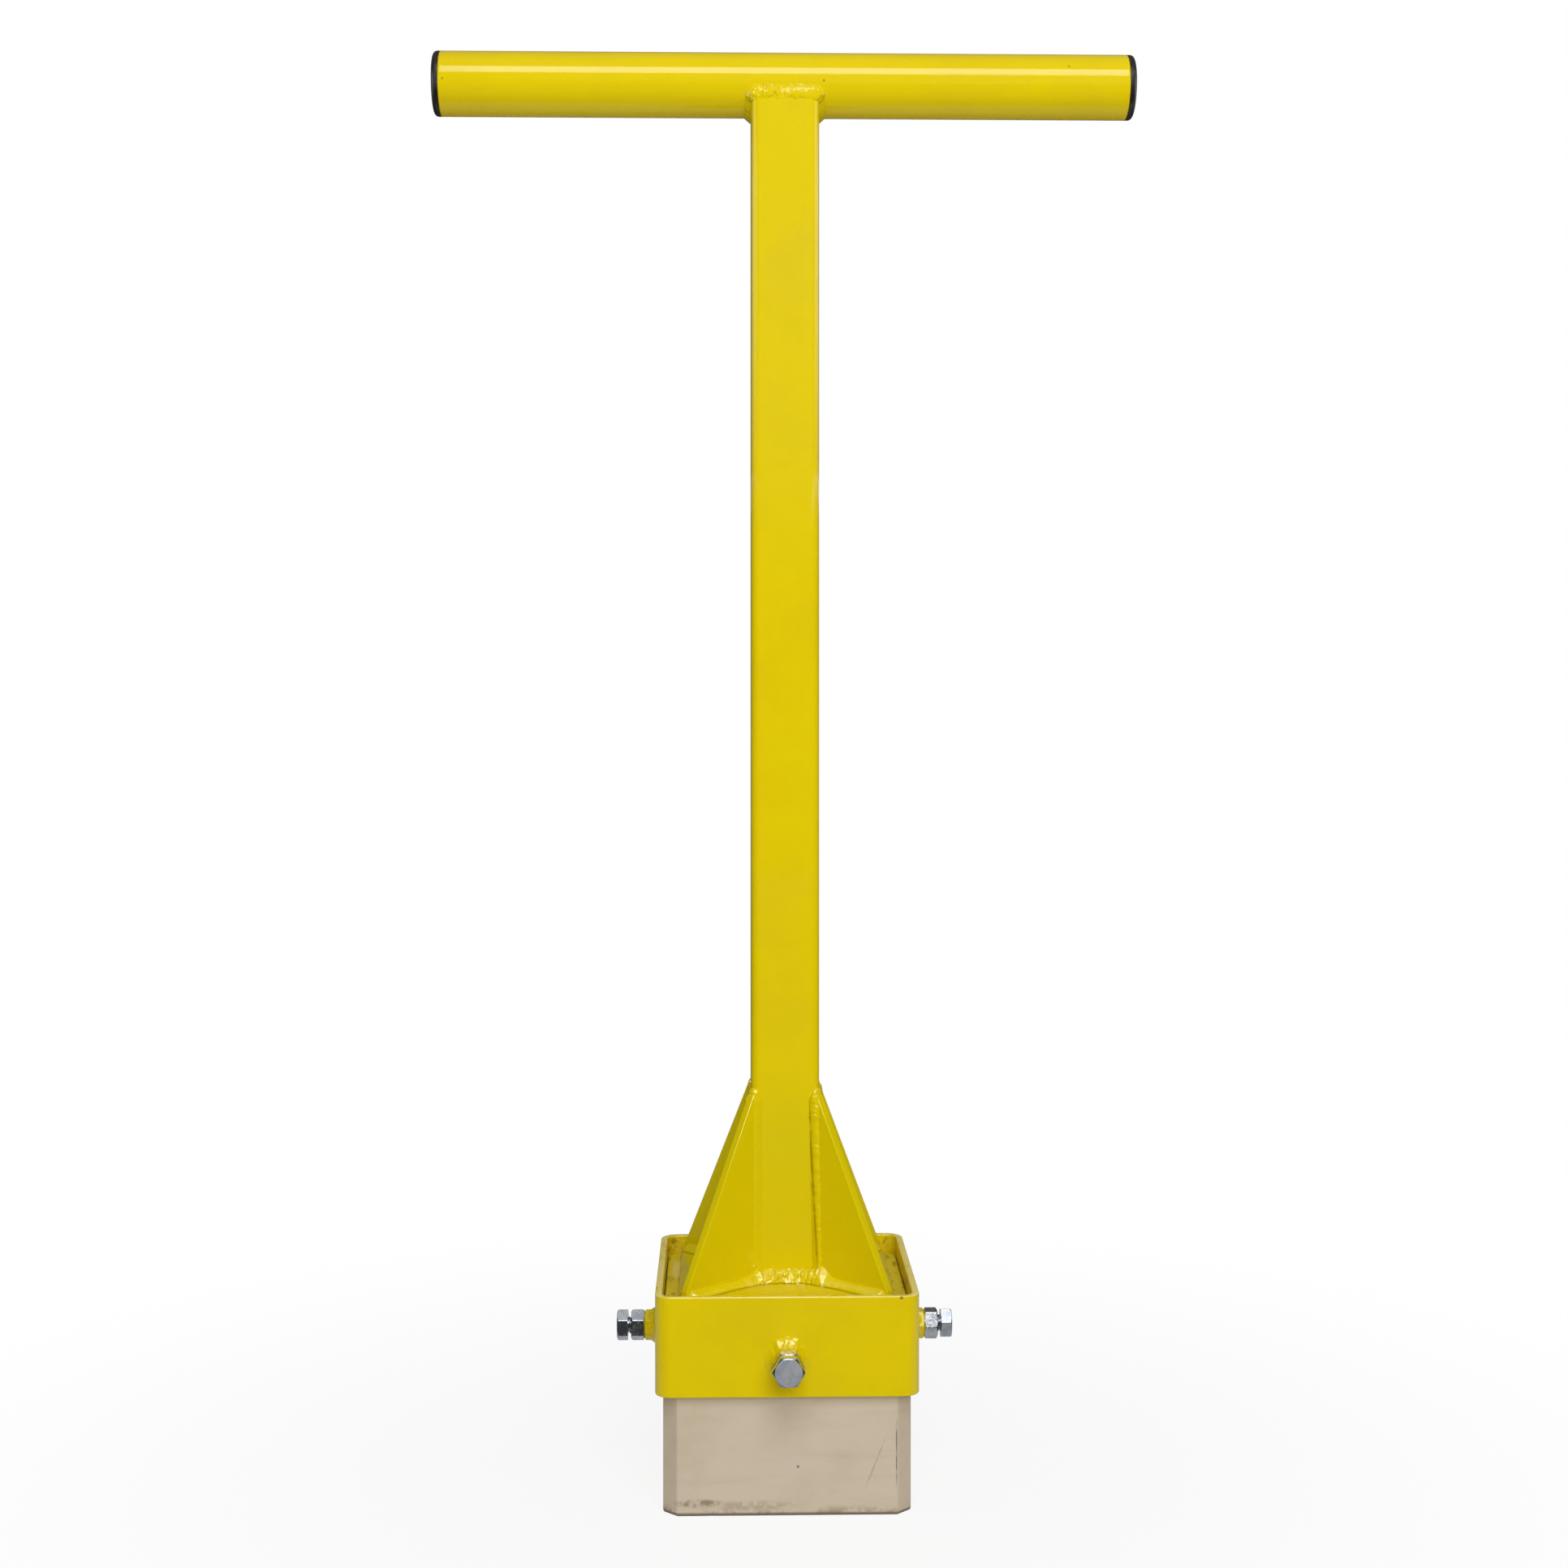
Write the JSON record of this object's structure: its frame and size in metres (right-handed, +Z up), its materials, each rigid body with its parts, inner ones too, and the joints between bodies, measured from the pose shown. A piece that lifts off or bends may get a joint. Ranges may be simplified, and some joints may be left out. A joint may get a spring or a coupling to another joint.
{
  "type": "hand tamper",
  "caption": "Hand tamper: round T-handle on a square steel shaft, gussets down to a square collar that clamps a replaceable plastic tamping block with hexagon bolts.",
  "frame": {"origin": "middle of the tamping block's sole", "axes": "+Z up the shaft, +X along the handle, -Y towards the front clamp bolt"},
  "size_m": [0.414, 0.1988, 0.844],
  "materials": {
    "yellow_paint": "glossy yellow paint over welded steel",
    "zinc_steel": "bright zinc plating",
    "black_plastic": "matt moulded plastic",
    "block_plastic": "cream cast plastic, scuffed and stained"
  },
  "bodies": {
    "frame": {"collar": "yellow_paint", "top_plate": "yellow_paint", "shaft_tube": "yellow_paint", "handle_tube": "yellow_paint", "front_left_gusset": "yellow_paint", "front_right_gusset": "yellow_paint", "back_left_gusset": "yellow_paint", "back_right_gusset": "yellow_paint", "left_weld_nut": "yellow_paint", "right_weld_nut": "yellow_paint", "front_weld_nut": "yellow_paint", "back_weld_nut": "yellow_paint", "handle_weld": "yellow_paint", "left_foot_weld": "yellow_paint", "right_foot_weld": "yellow_paint", "front_foot_weld": "yellow_paint", "back_foot_weld": "yellow_paint", "seam_welds": "yellow_paint", "nut_welds": "yellow_paint", "left_end_cap": "black_plastic", "right_end_cap": "black_plastic"},
    "block": {"tamping_block": "block_plastic"},
    "left_nut": {"left_lock_nut": "zinc_steel"},
    "left_bolt": {"left_clamp_bolt": "zinc_steel"},
    "right_nut": {"right_lock_nut": "zinc_steel"},
    "right_bolt": {"right_clamp_bolt": "zinc_steel"},
    "front_nut": {"front_lock_nut": "zinc_steel"},
    "front_bolt": {"front_clamp_bolt": "zinc_steel"},
    "back_nut": {"back_lock_nut": "zinc_steel"},
    "back_bolt": {"back_clamp_bolt": "zinc_steel"}
  },
  "joints": [
    {"name": "block_release", "type": "slide", "parent": "frame", "child": "block", "axis": [0, 0, -1], "range_m": [0, 0.055]},
    {"name": "left_bolt_advance", "type": "slide", "parent": "frame", "child": "left_nut", "axis": [-1, 0, 0], "range_m": [0, 0.012]},
    {"name": "left_bolt_turn", "type": "hinge", "parent": "left_nut", "child": "left_bolt", "pos_m": [-0.075, 0, 0.0895], "axis": [-1, 0, 0], "range_deg": [0, 2880]},
    {"name": "right_bolt_advance", "type": "slide", "parent": "frame", "child": "right_nut", "axis": [1, 0, 0], "range_m": [0, 0.012]},
    {"name": "right_bolt_turn", "type": "hinge", "parent": "right_nut", "child": "right_bolt", "pos_m": [0.075, 0, 0.0895], "axis": [1, 0, 0], "range_deg": [0, 2880]},
    {"name": "front_bolt_advance", "type": "slide", "parent": "frame", "child": "front_nut", "axis": [0, -1, 0], "range_m": [0, 0.012]},
    {"name": "front_bolt_turn", "type": "hinge", "parent": "front_nut", "child": "front_bolt", "pos_m": [0, -0.075, 0.0895], "axis": [0, -1, 0], "range_deg": [0, 2880]},
    {"name": "back_bolt_advance", "type": "slide", "parent": "frame", "child": "back_nut", "axis": [0, 1, 0], "range_m": [0, 0.012]},
    {"name": "back_bolt_turn", "type": "hinge", "parent": "back_nut", "child": "back_bolt", "pos_m": [0, 0.075, 0.0895], "axis": [0, 1, 0], "range_deg": [0, 2880]}
  ],
  "couplings": [
    {"joint": "left_bolt_turn", "follows": "left_bolt_advance", "rad_per_m": 4188.8},
    {"joint": "right_bolt_turn", "follows": "right_bolt_advance", "rad_per_m": 4188.8},
    {"joint": "front_bolt_turn", "follows": "front_bolt_advance", "rad_per_m": 4188.8},
    {"joint": "back_bolt_turn", "follows": "back_bolt_advance", "rad_per_m": 4188.8}
  ]
}
